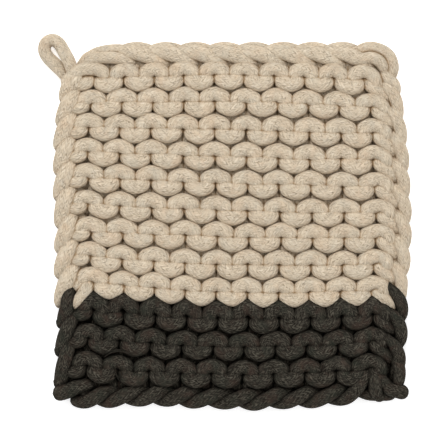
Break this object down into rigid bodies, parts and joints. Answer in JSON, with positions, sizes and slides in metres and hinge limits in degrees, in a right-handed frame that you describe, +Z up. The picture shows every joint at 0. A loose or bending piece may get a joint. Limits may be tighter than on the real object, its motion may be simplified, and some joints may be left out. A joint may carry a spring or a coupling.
{
  "type": "pot holder",
  "caption": "Thick square pot holder of garter-stitch cotton cord, cream above a charcoal band, with a hanging loop at one corner.",
  "frame": {"origin": "on the surface that the pot holder lies on, under the middle of its box, loop included", "axes": "+Z up out of the upper face, +Y from the cast-on edge towards the bind-off edge and the loop, +X along the ridges to the right"},
  "size_m": [0.2136, 0.216, 0.016],
  "materials": {
    "charcoal_cotton": "matt, soft cotton cord",
    "cream_cotton": "matt, soft undyed cotton cord with brown flecks"
  },
  "bodies": {
    "root": {"charcoal_knit": "charcoal_cotton", "cream_knit": "cream_cotton", "hanging_loop": "cream_cotton"}
  },
  "joints": []
}
